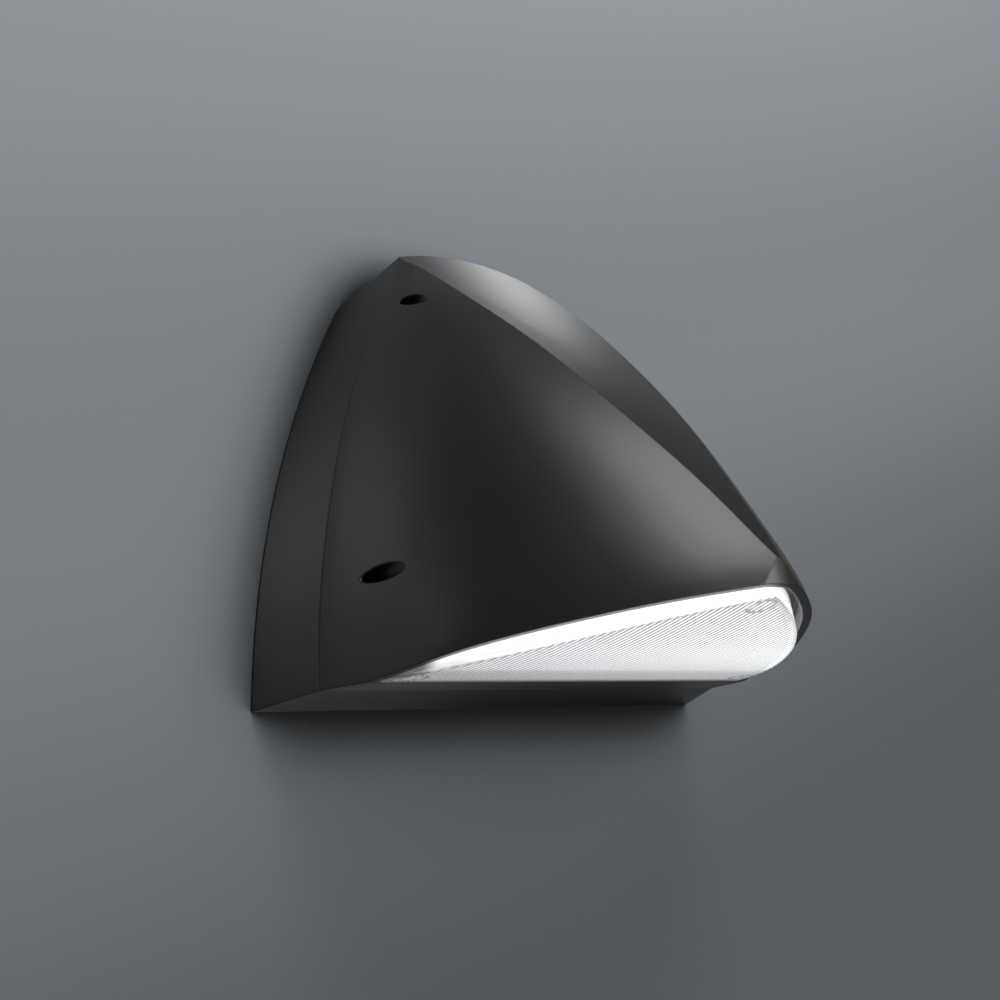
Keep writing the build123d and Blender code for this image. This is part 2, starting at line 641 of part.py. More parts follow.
def make_lens_screws():
    tip = LENS_TOP - LENS_SCREW_BITE + SCREW_TIP_GAP
    return [down_screw(x, t, tip, LEDGE_TOP, LENS_SCREW_HEAD_HEIGHT,
                       LENS_SCREW_RADIUS, LENS_SCREW_HEAD_RADIUS) for x, t in LENS_SCREWS]


def plate_plan(z, side_gap, start, end):
    """Plan of a flat plate inside the hood at height z."""
    plan = hood_plan(z, HOOD_WALL + side_gap)
    band = Pos(0, -(start + end) / 2) * Rectangle(2 * WALL_HALF_BOTTOM, end - start)
    return plan & band


def make_bracket():
    """Aluminium angle: upright leg on the base, finned shelf that carries the board."""
    top = BRACKET_BOTTOM + BRACKET_THICKNESS
    back = BRACKET_BACK
    shelf = slab(plate_plan(top, BRACKET_SIDE_GAP, BOARD_START - BRACKET_THICKNESS, BRACKET_REACH),
                 BRACKET_BOTTOM, top)
    shelf += block(-BRACKET_LEG_HALF, BRACKET_LEG_HALF, back, BOARD_START, BRACKET_BOTTOM, top)
    leg = block(-BRACKET_LEG_HALF, BRACKET_LEG_HALF, back, back + BRACKET_THICKNESS,
                BRACKET_BOTTOM, BRACKET_BOTTOM + BRACKET_LEG_HEIGHT)
    bracket = shelf + leg
    first = -FIN_PITCH * (FIN_COUNT - 1) / 2
    for step in range(FIN_COUNT):
        x = first + step * FIN_PITCH
        bracket += block(x - FIN_THICKNESS / 2, x + FIN_THICKNESS / 2, FIN_START, FIN_END,
                         top, top + FIN_HEIGHT)
    for x, z in BRACKET_SCREWS:
        bracket -= peg(x, z, back, back + BRACKET_THICKNESS, M3_RADIUS + HOLE_CLEARANCE)
    for x, t in BOARD_SCREWS:
        bracket -= post(x, t, BRACKET_BOTTOM, top, M3_RADIUS + SCREW_CLEARANCE)
    for x in (-LED_LEAD_X, LED_LEAD_X):
        bracket -= post(x, LED_LEAD_BOARD_DEPTH, BRACKET_BOTTOM, top, WIRE_RADIUS + HOLE_CLEARANCE)
    return bracket


def make_led_board():
    board = slab(plate_plan(BRACKET_BOTTOM, BOARD_SIDE_GAP, BOARD_START, BOARD_END),
                 BOARD_BOTTOM, BRACKET_BOTTOM)
    for x, t in BOARD_SCREWS:
        board -= post(x, t, BOARD_BOTTOM, BRACKET_BOTTOM, M3_RADIUS + HOLE_CLEARANCE)
    return board


def emitter_places():
    """Centre (x, t) of each emitter, in rows that narrow towards the nose."""
    return [((place - (count - 1) / 2) * pitch, board_depth(share))
            for share, count, pitch in EMITTER_ROWS for place in range(count)]


def square_post(x, t, z0, z1, size):
    return block(x - size / 2, x + size / 2, t - size / 2, t + size / 2, z0, z1)


def make_led_chips():
    return [square_post(x, t, BOARD_BOTTOM - EMITTER_HEIGHT, BOARD_BOTTOM, EMITTER_SIZE)
            for x, t in emitter_places()]


def make_reflector():
    """White sheet under the board with a window for each emitter."""
    sheet = slab(plate_plan(BRACKET_BOTTOM, REFLECTOR_SIDE_GAP, REFLECTOR_START, NOSE_DEPTH),
                 REFLECTOR_BOTTOM, BOARD_BOTTOM)
    for x, t in emitter_places():
        sheet -= square_post(x, t, REFLECTOR_BOTTOM, BOARD_BOTTOM, EMITTER_WINDOW)
    for x, t in BOARD_SCREWS:
        sheet -= post(x, t, REFLECTOR_BOTTOM, BOARD_BOTTOM, M3_RADIUS + HOLE_CLEARANCE)
    return sheet


def make_board_screws():
    return [up_screw(x, t, BRACKET_BOTTOM + BRACKET_THICKNESS, REFLECTOR_BOTTOM,
                     M3_HEAD_HEIGHT, M3_RADIUS, M3_HEAD_RADIUS) for x, t in BOARD_SCREWS]


def make_driver_case():
    """Open box on two pads, with an ear at each end."""
    low, high = DRIVER_HEIGHT, DRIVER_HEIGHT + DRIVER_TALL
    half = DRIVER_HALF - EAR_REACH
    case = block(-half, half, DRIVER_BACK, DRIVER_FRONT, low, high)
    case -= block(-half + DRIVER_WALL, half - DRIVER_WALL, DRIVER_BACK + DRIVER_WALL,
                  DRIVER_FRONT, low + DRIVER_WALL, high - DRIVER_WALL)
    for side in (-1, 1):
        x0, x1 = sorted((side * half, side * DRIVER_HALF))
        case += block(x0, x1, DRIVER_BACK, DRIVER_BACK + EAR_THICKNESS,
                      DRIVER_MIDDLE - BOSS_RADIUS, DRIVER_MIDDLE + BOSS_RADIUS)
    for x, z in DRIVER_SCREWS:
        case -= peg(x, z, DRIVER_BACK, DRIVER_BACK + EAR_THICKNESS, M3_RADIUS + HOLE_CLEARANCE)
    hole = WIRE_RADIUS + HOLE_CLEARANCE
    for x in TERMINAL_WAYS[:2]:
        case -= post(x, SUPPLY_LEAD_DEPTH, high - DRIVER_WALL, high, hole)
    for x in (-LED_LEAD_X, LED_LEAD_X):
        case -= post(x, LED_LEAD_DEPTH, low, low + DRIVER_WALL, hole)
    return case


def make_driver_lid():
    half = DRIVER_HALF - EAR_REACH
    return block(-half, half, DRIVER_FRONT, DRIVER_FRONT + DRIVER_LID,
                 DRIVER_HEIGHT, DRIVER_HEIGHT + DRIVER_TALL)


def make_driver_board():
    """Circuit board on the case floor with its transformer and two capacitors."""
    half = DRIVER_HALF - EAR_REACH - DRIVER_WALL - JOINT_GAP
    floor = DRIVER_BACK + DRIVER_WALL
    low = DRIVER_HEIGHT + DRIVER_WALL + JOINT_GAP
    high = DRIVER_HEIGHT + DRIVER_TALL - DRIVER_WALL - JOINT_GAP
    face = floor + BOARD_THICKNESS
    board = block(-half, half, floor, face, low, high)
    board += block(-TRANSFORMER_HALF, TRANSFORMER_HALF, face, face + TRANSFORMER_TALL,
                   DRIVER_MIDDLE - TRANSFORMER_HALF, DRIVER_MIDDLE + TRANSFORMER_HALF)
    for x in (-CAPACITOR_X, CAPACITOR_X):
        board += peg(x, DRIVER_MIDDLE, face, face + CAPACITOR_TALL, CAPACITOR_RADIUS)
    return board


def make_terminal_block():
    low, high = TERMINAL_HEIGHT, TERMINAL_HEIGHT + TERMINAL_TALL
    top = BACK_WALL + TERMINAL_DEPTH
    body = block(-TERMINAL_HALF, TERMINAL_HALF, BACK_WALL, top, low, high)
    for x in TERMINAL_WAYS:
        body -= post(x, SUPPLY_LEAD_DEPTH, low, high, TERMINAL_BORE)
        body -= peg(x, (low + high) / 2, SUPPLY_LEAD_DEPTH, top, M3_RADIUS + SCREW_CLEARANCE)
    return body


def make_terminal_screws():
    z = TERMINAL_HEIGHT + TERMINAL_TALL / 2
    top = BACK_WALL + TERMINAL_DEPTH - TERMINAL_SCREW_SUNK
    return [peg(x, z, SUPPLY_LEAD_DEPTH + WIRE_RADIUS, top, M3_RADIUS) for x in TERMINAL_WAYS]


def make_cable_grommet():
    """Rubber bush that lines the rear entry, flush with the wall face."""
    inner = BACK_WALL + GROMMET_FLANGE
    body = peg(0, ENTRY_HEIGHT, 0, GROMMET_FLANGE, GROMMET_FLANGE_RADIUS)
    body += peg(0, ENTRY_HEIGHT, 0, inner, ENTRY_RADIUS)
    body += peg(0, ENTRY_HEIGHT, BACK_WALL, inner, GROMMET_FLANGE_RADIUS)
    return body - peg(0, ENTRY_HEIGHT, 0, inner, CABLE_RADIUS)


def make_cable_clamp():
    """Cord grip bar over two bosses."""
    front = CLAMP_BACK + CLAMP_THICKNESS
    low, high = CLAMP_HEIGHT - CLAMP_BAR / 2, CLAMP_HEIGHT + CLAMP_BAR / 2
    bar = block(-CLAMP_HALF, CLAMP_HALF, CLAMP_BACK, front, low, high)
    for x, z in CLAMP_SCREWS:
        bar -= peg(x, z, CLAMP_BACK, front, M3_RADIUS + HOLE_CLEARANCE)
    return bar


def wire(*points):
    """An insulated wire through points (x, t, z): straight runs joined by large arcs."""
    places = [(x, -t, z) for x, t, z in points]
    path = FilletPolyline(*places, radius=bend_radii(places)) if len(places) > 2 else Line(*places)
    start = Plane(origin=path @ 0, z_dir=path % 0)
    return sweep(start * Circle(WIRE_RADIUS), path=path)


def bend_radii(points):
    """The largest arc that each corner's two runs allow."""
    radii = []
    for before, corner, after in zip(points, points[1:], points[2:]):
        arrive = Vector(*corner) - Vector(*before)
        leave = Vector(*after) - Vector(*corner)
        turn = radians(arrive.get_angle(leave))
        radii.append(BEND_SHARE * min(arrive.length, leave.length) / tan(turn / 2))
    return radii


def make_supply_leads():
    """Two wires from the terminal block straight down into the driver case."""
    low = DRIVER_HEIGHT + DRIVER_TALL - DRIVER_WALL
    high = TERMINAL_HEIGHT + TERMINAL_TALL - WIRE_RADIUS
    return [wire((x, SUPPLY_LEAD_DEPTH, high), (x, SUPPLY_LEAD_DEPTH, low))
            for x in TERMINAL_WAYS[:2]]


def make_earth_lead():
    """A wire from the third way, round below the block and up to the earth stud."""
    t = SUPPLY_LEAD_DEPTH
    start = TERMINAL_WAYS[2]
    high = TERMINAL_HEIGHT + TERMINAL_TALL - WIRE_RADIUS
    turn = TERMINAL_HEIGHT - EARTH_LEAD_DROP
    low = DRIVER_HEIGHT + DRIVER_TALL + EARTH_LEAD_DIP_GAP
    end = EARTH_HEIGHT - EARTH_WASHER_RADIUS
    return wire((start, t, high), (start, t, turn), ((start + EARTH_X) / 2, t, low),
                (EARTH_X, t, turn), (EARTH_X, t, end))


def make_led_leads():
    """Two wires from the driver, over the bracket's leg and down to the board's top face."""
    bend = DRIVER_HEIGHT - LED_LEAD_DROP
    return [wire((x, LED_LEAD_DEPTH, DRIVER_HEIGHT + DRIVER_WALL), (x, LED_LEAD_DEPTH, bend),
                 (x, LED_LEAD_BOARD_DEPTH, bend - LED_LEAD_SAG),
                 (x, LED_LEAD_BOARD_DEPTH, BRACKET_BOTTOM))
            for x in (-LED_LEAD_X, LED_LEAD_X)]


def make_earth_washer():
    top = EARTH_PAD + EARTH_WASHER_THICKNESS
    return (peg(EARTH_X, EARTH_HEIGHT, EARTH_PAD, top, EARTH_WASHER_RADIUS)
            - peg(EARTH_X, EARTH_HEIGHT, EARTH_PAD, top, M4_RADIUS + HOLE_CLEARANCE))


def m3_screws(points, seat):
    """Pan-head screws driven towards the back wall."""
    return [wall_screw(x, z, SCREW_BLIND + SCREW_TIP_GAP, seat, M3_HEAD_HEIGHT, M3_RADIUS,
                       M3_HEAD_RADIUS) for x, z in points]


def main():
    os.makedirs("parts", exist_ok=True)
    save("back_housing", make_back_housing())
    save("wall_gasket", make_wall_gasket())
    save("hood_gasket", make_hood_gasket())
    save("shelf_gasket", make_shelf_gasket())
    save("cable_grommet", make_cable_grommet())
    save("cable_clamp", make_cable_clamp())
    save("clamp_screws", *m3_screws(CLAMP_SCREWS, CLAMP_BACK + CLAMP_THICKNESS))
    save("terminal_block", make_terminal_block())
    save("terminal_screws", *make_terminal_screws())
    save("earth_washer", make_earth_washer())
    save("earth_screw", wall_screw(EARTH_X, EARTH_HEIGHT, SCREW_BLIND + SCREW_TIP_GAP,
                                   EARTH_PAD + EARTH_WASHER_THICKNESS, M4_HEAD_HEIGHT,
                                   M4_RADIUS, M4_HEAD_RADIUS))
    save("earth_lead", make_earth_lead())
    save("supply_leads", *make_supply_leads())
    save("led_leads", *make_led_leads())
    save("driver_case", make_driver_case())
    save("driver_lid", make_driver_lid())
    save("driver_board", make_driver_board())
    save("driver_screws", *m3_screws(DRIVER_SCREWS, DRIVER_BACK + EAR_THICKNESS))
    save("heat_sink_bracket", make_bracket())
    save("bracket_screws", *m3_screws(BRACKET_SCREWS, BRACKET_BACK + BRACKET_THICKNESS))
    save("led_board", make_led_board())
    save("led_chips", *make_led_chips())
    save("reflector", make_reflector())
    save("board_screws", *make_board_screws())
    save("hood", make_hood())
    save("hood_screws", *make_hood_screws())
    save("screw_retainers", *make_screw_retainers())
    save("lens", make_lens())
    save("lens_gasket", make_lens_gasket())
    save("lens_screws", *make_lens_screws())


if __name__ == "__main__":
    main()
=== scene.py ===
"""Finishes for a wedge-shaped outdoor wall light, with its wall, floor, lamps and camera."""

import math

import bpy
from bpy.props import FloatProperty, FloatVectorProperty, PointerProperty
from mathutils import Matrix, Vector

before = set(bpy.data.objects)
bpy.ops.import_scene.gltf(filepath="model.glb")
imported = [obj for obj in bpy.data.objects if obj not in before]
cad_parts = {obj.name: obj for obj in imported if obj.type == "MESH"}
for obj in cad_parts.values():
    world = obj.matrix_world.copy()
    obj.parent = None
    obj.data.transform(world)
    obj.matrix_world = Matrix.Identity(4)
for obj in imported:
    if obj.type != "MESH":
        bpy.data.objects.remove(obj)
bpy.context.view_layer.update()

bl_info = {
    "name": "Wall Light Finishes",
    "version": (1, 0, 0),
    "blender": (4, 5, 0),
    "location": "3D View > Sidebar > Wall Light",
    "description": "Finishes each piece of an outdoor wall light and sets up its wall and lamps",
    "category": "Material",
}

CASTINGS = ("back_housing", "hood")
BLACK_SEALS = ("wall_gasket", "hood_gasket", "shelf_gasket", "cable_grommet")
WHITE_SEALS = ("lens_gasket",)
NYLON_PARTS = ("cable_clamp", "terminal_block", "screw_retainers")
ZINC_PARTS = ("clamp_screws", "terminal_screws", "earth_washer", "earth_screw", "driver_screws",
              "bracket_screws", "board_screws", "lens_screws")
DRIVER_SHELL = ("driver_case", "driver_lid")

WHITE = (1.0, 1.0, 1.0)
DARK_STOP, LIGHT_STOP = 0.25, 0.75


def colour(name, description, default):
    """A colour setting."""
    return FloatVectorProperty(name=name, description=description, subtype="COLOR",
                               size=3, min=0.0, max=1.0, default=default)


def share(name, description, default):
    """A setting from nought to one."""
    return FloatProperty(name=name, description=description, subtype="FACTOR",
                         min=0.0, max=1.0, default=default)


def length(name, description, default):
    """A length setting in metres."""
    return FloatProperty(name=name, description=description, unit="LENGTH",
                         min=0.0, precision=5, default=default)


def scaled(shade, share_of_it):
    """A colour made darker or lighter by a share, and never past white."""
    return [min(1.0, part * share_of_it) for part in shade]


class CastingSettings(bpy.types.PropertyGroup):
    """Powder coat on the base and the hood."""

    coat: colour("Coat", "Colour of the powder coat", (0.0056, 0.0052, 0.0048))
    gloss: share("Roughness", "Roughness of the powder coat", 0.35)
    grain: length("Grain", "Size of the coat's fine grain", 0.00035)
    ripple: length("Ripple", "Size of the casting's slow waviness", 0.018)
    edge: length("Edge", "Radius of the worn, rounded edges", 0.0009)


class SealSettings(bpy.types.PropertyGroup):
    """Rubber and silicone seals."""

    black: colour("Black seal", "Colour of the black silicone", (0.014, 0.014, 0.015))
    white: colour("White seal", "Colour of the white silicone", (0.72, 0.72, 0.69))
    grain: length("Grain", "Size of the seals' grain", 0.0006)


class FastenerSettings(bpy.types.PropertyGroup):
    """Plated and blackened screws."""

    zinc: colour("Zinc", "Colour of the zinc plating", (0.58, 0.58, 0.56))
    black: colour("Blackened", "Colour of the blackened hood screws", (0.035, 0.034, 0.033))
    swirl: length("Swirl", "Size of the plating's clouding", 0.0022)


class WiringSettings(bpy.types.PropertyGroup):
    """Terminal block, cord grip and leads."""

    nylon: colour("Nylon", "Colour of the moulded nylon", (0.76, 0.75, 0.71))
    earth: colour("Earth lead", "Green of the earth lead", (0.07, 0.33, 0.08))
    earth_stripe: colour("Earth stripe", "Yellow of the earth lead", (0.75, 0.60, 0.03))
    supply: colour("Supply leads", "Colour of the supply leads", (0.30, 0.30, 0.31))
    lamp: colour("Lamp leads", "Colour of the lamp board's leads", (0.45, 0.035, 0.03))


class LampSettings(bpy.types.PropertyGroup):
    """Driver, bracket, lamp board, emitters, reflector and lens."""

    shell: colour("Driver shell", "Colour of the driver's moulded case", (0.72, 0.72, 0.70))
    board: colour("Driver board", "Colour of the driver's circuit board", (0.035, 0.17, 0.07))
    plate: colour("Bracket", "Colour of the aluminium bracket", (0.66, 0.67, 0.68))
    mask: colour("Lamp board", "Colour of the lamp board's white mask", (0.82, 0.83, 0.82))
    phosphor: colour("Phosphor", "Colour of the emitters", (0.92, 0.78, 0.36))
    reflector: colour("Reflector", "Colour of the reflector sheet", (0.88, 0.88, 0.87))
    lens: colour("Lens", "Colour of the ribbed lens", (0.93, 0.94, 0.95))
    frost: share("Frost", "How much of the lens's plastic scatters light", 0.42)
    # Groove and boss are colours of the lens's painted shade; the boss colour also shades the lens
    # towards the shelf, its wall and the line along the belly's edge.
    groove: colour("Groove", "Shade of the grooves between the lens's ribs", (0.09, 0.094, 0.10))
    ring: colour("Boss", "Shade of the screw bosses seen through the lens", (0.20, 0.205, 0.21))
    # Painted light: the reflector's own emission stands in for the emitters' light that it throws
    # back.
    painted_glow: FloatProperty(name="Glow", description="How brightly the reflector shines when lit",
                        min=0.0, max=5.0, default=0.12)


class StageSettings(bpy.types.PropertyGroup):
    """Wall, floor and lamps around the light."""

    # The three wall colours carry painted shade: the wall is painted darker downwards.
    wall_top: colour("Wall top", "Colour of the wall above the light", (0.236, 0.248, 0.268))
    wall_middle: colour("Wall middle", "Colour of the wall behind it", (0.150, 0.163, 0.176))
    wall_bottom: colour("Wall bottom", "Colour of the wall below the light", (0.070, 0.075, 0.081))
    floor: colour("Floor", "Colour of the floor", (0.70, 0.70, 0.69))
    drop: length("Floor drop", "Distance from the light down to the floor", 0.95)
    fill: FloatProperty(name="Fill", description="Strength of the even light from all round",
                        min=0.0, max=2.0, default=0.13)
    contact: length("Contact shadow", "How far the dark line round the base reaches", 0.030)


class Finish:
    """A material being made: its shader, and short ways to add nodes and join them."""

    def __init__(self, name, base, roughness, metallic=0.0, **sockets):
        self.material = bpy.data.materials.new(name)
        self.material.use_nodes = True
        self.tree = self.material.node_tree
        self.shader = self.tree.nodes["Principled BSDF"]
        self.base = tuple(base)
        self.set("Base Color", (*self.base, 1.0))
        self.set("Roughness", roughness)
        self.set("Metallic", metallic)
        for socket, value in sockets.items():
            self.set(socket.replace("_", " ").title().replace("Ior", "IOR"), value)
        self.place = self.node("TexCoord").outputs["Object"]

    def set(self, socket, value):
        """Put a plain value on one of the shader's own sockets."""
        self.shader.inputs[socket].default_value = value

    def node(self, kind, sockets=None, **settings):
        """Add a node. A socket's value is a number, or the output that feeds it."""
        made = self.tree.nodes.new("ShaderNode" + kind)
        for name, value in settings.items():
            setattr(made, name, value)
        for socket, value in (sockets or {}).items():
            if isinstance(value, bpy.types.NodeSocket):
                self.tree.links.new(value, made.inputs[socket])
            else:
                made.inputs[socket].default_value = value
        return made

    def join(self, output, socket):
        """Feed one of the shader's sockets."""
        self.tree.links.new(output, self.shader.inputs[socket])

    def stretched(self, scale):
        """Object coordinates, scaled along each axis."""
        return self.node("Mapping", {"Vector": self.place, "Scale": scale}).outputs["Vector"]

    def noise(self, size, detail=2.0, roughness=0.5, vector=None):
        """Cloudy noise whose features are about size metres across."""
        sockets = {"Vector": vector or self.place, "Scale": 1.0 / size, "Detail": detail,
                   "Roughness": roughness}
        return self.node("TexNoise", sockets).outputs["Fac"]

    def cell_edges(self, size):
        """Distance to the edges of a pattern of cells that are about size metres across."""
        sockets = {"Vector": self.place, "Scale": 1.0 / size}
        return self.node("TexVoronoi", sockets, feature="DISTANCE_TO_EDGE").outputs["Distance"]

    def ramp(self, factor, *stops, smooth=True):
        """A colour ramp through (position, colour) stops."""
        made = self.node("ValToRGB", {"Fac": factor})
        made.color_ramp.interpolation = "EASE" if smooth else "CONSTANT"
        elements = made.color_ramp.elements
        while len(elements) < len(stops):
            elements.new(0.5)
        for element, (position, shade) in zip(elements, stops):
            element.position = position
            element.color = (*shade, 1.0)
        return made.outputs["Color"]

    def remap(self, factor, low, high):
        """A number from low to high as the factor goes from nought to one."""
        sockets = {"Value": factor, "To Min": low, "To Max": high}
        return self.node("MapRange", sockets).outputs["Result"]

    def between(self, value, low, high):
        """Nought where the value is low, and one where it is high."""
        sockets = {"Value": value, "From Min": low, "From Max": high}
        return self.node("MapRange", sockets).outputs["Result"]

    def mix(self, factor, first, second, blend="MIX"):
        """Mix two colours, each a shade or the output that feeds it."""
        first, second = (each if isinstance(each, bpy.types.NodeSocket) else (*each, 1.0)
                         for each in (first, second))
        return self.node("MixRGB", {"Fac": factor, "Color1": first, "Color2": second},
                         blend_type=blend).outputs["Color"]

    def maths(self, operation, first, second=0.0):
        """Sum, product or other outcome of one or two numbers."""
        return self.node("Math", {0: first, 1: second}, operation=operation).outputs["Value"]

    def vary(self, factor, spread):
        """Lighten and darken the base colour by a share as the factor changes."""
        dark, light = scaled(self.base, 1.0 - spread), scaled(self.base, 1.0 + spread)
        self.join(self.ramp(factor, (DARK_STOP, dark), (LIGHT_STOP, light)), "Base Color")

    def vary_roughness(self, factor, low, high):
        """Let the roughness wander between two values."""
        self.join(self.remap(factor, low, high), "Roughness")

    def bump(self, height, depth, normal=None):
        """Raise the surface by up to depth metres where height is one."""
        sockets = {"Height": height, "Distance": depth, "Strength": 1.0}
        if normal:
            sockets["Normal"] = normal
        self.join(self.node("Bump", sockets).outputs["Normal"], "Normal")

    def rounded(self, radius):
        """Normal that rounds the edges off."""
        return self.node("Bevel", {"Radius": radius}, samples=6).outputs["Normal"]

    def edge_wear_and_shade(self, radius, strength):
        """One on the rounded edges and nought on flat faces."""
        sharp = self.node("NewGeometry").outputs["Normal"]
        dot = self.node("VectorMath", {0: self.rounded(radius), 1: sharp}, operation="DOT_PRODUCT")
        away = self.maths("SUBTRACT", 1.0, dot.outputs["Value"])
        return self.node("Math", {0: away, 1: strength}, operation="MULTIPLY",
                         use_clamp=True).outputs["Value"]


def dress(finish, *names):
    """Put a finish on CAD pieces."""
    for name in names:
        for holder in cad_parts[name].material_slots:
            holder.material = finish.material


WARM_GLINT = (1.0, 0.975, 0.95, 1.0)
COAT_CLOUD = 0.035
COAT_DARK, COAT_LIGHT = 0.90, 1.10
COAT_DARK_STOP, COAT_LIGHT_STOP = 0.30, 0.72
COAT_WORN = 1.9
GRAIN_IN_GLOSS, CLOUD_IN_GLOSS = 0.6, 0.4
GLOSS_BELOW, GLOSS_ABOVE = 0.05, 0.07
GRAIN_IN_RELIEF, RIPPLE_IN_RELIEF = 0.055, 0.25


def powder_coat(settings):
    """Satin charcoal powder coat: fine grain, slow ripple, edges a little lighter."""
    coat = Finish("Powder_Coated_Casting", settings.coat, settings.gloss, Specular_IOR_Level=0.62)
    coat.set("Specular Tint", WARM_GLINT)
    grain = coat.noise(settings.grain, detail=3.0, roughness=0.6)
    cloud = coat.noise(COAT_CLOUD, detail=4.0, roughness=0.55)
    tone = coat.ramp(cloud, (COAT_DARK_STOP, scaled(coat.base, COAT_DARK)),
                     (COAT_LIGHT_STOP, scaled(coat.base, COAT_LIGHT)))
    worn = coat.edge_wear_and_shade(settings.edge, strength=1.6)
    coat.join(coat.mix(worn, tone, scaled(coat.base, COAT_WORN)), "Base Color")
    coat.vary_roughness(coat.maths("ADD", coat.maths("MULTIPLY", grain, GRAIN_IN_GLOSS),
                                   coat.maths("MULTIPLY", cloud, CLOUD_IN_GLOSS)),
                        settings.gloss - GLOSS_BELOW, settings.gloss + GLOSS_ABOVE)
    ripple = coat.noise(settings.ripple, detail=1.0)
    height = coat.maths("ADD", coat.maths("MULTIPLY", grain, GRAIN_IN_RELIEF),
                        coat.maths("MULTIPLY", ripple, RIPPLE_IN_RELIEF))
    coat.bump(height, depth=0.00016, normal=coat.rounded(settings.edge))
    return coat


CLOUD_TO_GRAIN = 14
RELIEF_TO_GRAIN = 0.06
MOULDED_SMOOTHER, MOULDED_ROUGHER = 0.06, 0.08


def moulded(name, base, roughness, grain, spread=0.05, **sockets):
    """Moulded rubber or plastic: fine grain and slight clouding."""
    made = Finish(name, base, roughness, **sockets)
    fine = made.noise(grain, detail=3.0, roughness=0.6)
    made.vary(made.noise(grain * CLOUD_TO_GRAIN, detail=3.0), spread)
    made.vary_roughness(fine, roughness - MOULDED_SMOOTHER, roughness + MOULDED_ROUGHER)
    made.bump(fine, grain * RELIEF_TO_GRAIN)
    return made


MARK_SIZE = 0.00018
MARK_STRETCH = (1.0, 0.12, 1.0)
PLATED_SMOOTHER, PLATED_ROUGHER = 0.05, 0.22


def plated(name, base, roughness, swirl, spread):
    """Plated or blackened steel: clouded tint and faint turning marks."""
    steel = Finish(name, base, roughness, metallic=1.0)
    cloud = steel.noise(swirl, detail=4.0, roughness=0.6)
    marks = steel.noise(MARK_SIZE, detail=1.0, vector=steel.stretched(MARK_STRETCH))
    steel.vary(cloud, spread)
    steel.vary_roughness(steel.maths("MULTIPLY", cloud, marks),
                         roughness - PLATED_SMOOTHER, roughness + PLATED_ROUGHER)
    steel.bump(marks, depth=0.000015)
    return steel


class WALLLIGHT_OT_castings(bpy.types.Operator):
    """Coat the cast base and the cast hood"""

    bl_idname = "wall_light.castings"
    bl_label = "Castings"

    def execute(self, context):
        dress(powder_coat(context.scene.wall_light_castings), *CASTINGS)
        return {"FINISHED"}


class WALLLIGHT_OT_seals(bpy.types.Operator):
    """Finish the seals and the cable grommet"""

    bl_idname = "wall_light.seals"
    bl_label = "Seals"

    def execute(self, context):
        seals = context.scene.wall_light_seals
        dress(moulded("Black_Silicone", seals.black, roughness=0.62, grain=seals.grain,
                      spread=0.12), *BLACK_SEALS)
        dress(moulded("White_Silicone", seals.white, roughness=0.48, grain=seals.grain,
                      spread=0.04, Subsurface_Weight=0.12, Subsurface_Scale=0.002), *WHITE_SEALS)
        return {"FINISHED"}


class WALLLIGHT_OT_fasteners(bpy.types.Operator):
    """Plate the screws and the earth washer, and blacken the hood screws"""

    bl_idname = "wall_light.fasteners"
    bl_label = "Fasteners"

    def execute(self, context):
        steel = context.scene.wall_light_fasteners
        dress(plated("Zinc_Plated_Steel", steel.zinc, roughness=0.30, swirl=steel.swirl,
                     spread=0.10), *ZINC_PARTS)
        dress(plated("Blackened_Steel", steel.black, roughness=0.34, swirl=steel.swirl,
                     spread=0.20), "hood_screws")
        return {"FINISHED"}


def insulation(name, base):
    """Soft, slightly glossy insulation."""
    return moulded(name, base, roughness=0.36, grain=0.0005, spread=0.06,
                   Coat_Weight=0.15, Coat_Roughness=0.3)


STRIPES = {"Scale": 90.0, "Distortion": 0.6, "Detail": 0.0}
STRIPE_STOP = 0.62


class WALLLIGHT_OT_wiring(bpy.types.Operator):
    """Finish the terminal block, the cord grip, the retainers and every lead"""

    bl_idname = "wall_light.wiring"
    bl_label = "Wiring"

    def execute(self, context):
        wires = context.scene.wall_light_wiring
        dress(moulded("Moulded_Nylon", wires.nylon, roughness=0.44, grain=0.0004, spread=0.04,
                      Subsurface_Weight=0.08, Subsurface_Scale=0.0015), *NYLON_PARTS)
        dress(insulation("Grey_Insulation", wires.supply), "supply_leads")
        dress(insulation("Red_Insulation", wires.lamp), "led_leads")
        earth = insulation("Green_And_Yellow_Insulation", wires.earth)
        bands = earth.node("TexWave", {"Vector": earth.place, **STRIPES},
                           bands_direction="DIAGONAL")
        earth.join(earth.ramp(bands.outputs["Fac"], (0.0, wires.earth),
                              (STRIPE_STOP, wires.earth_stripe), smooth=False), "Base Color")
        dress(earth, "earth_lead")
        return {"FINISHED"}


COPPER_LIGHTER = 2.1
TRACK_CELL, TRACK_STOP, TRACK_EDGE = 0.0035, 0.10, 0.16


class WALLLIGHT_OT_driver(bpy.types.Operator):
    """Finish the driver's case, lid and circuit board"""

    bl_idname = "wall_light.driver"
    bl_label = "Driver"

    def execute(self, context):
        lamp = context.scene.wall_light_lamp
        dress(moulded("White_Driver_Plastic", lamp.shell, roughness=0.42, grain=0.0007,
                      spread=0.04), *DRIVER_SHELL)
        board = Finish("Driver_Circuit_Board", lamp.board, roughness=0.34,
                       Coat_Weight=0.4, Coat_Roughness=0.2)
        tracks = board.cell_edges(TRACK_CELL)
        copper = scaled(board.base, COPPER_LIGHTER)
        board.join(board.ramp(tracks, (0.0, copper), (TRACK_STOP, copper),
                              (TRACK_EDGE, board.base)), "Base Color")
        board.bump(tracks, depth=0.00004)
        dress(board, "driver_board")
        return {"FINISHED"}


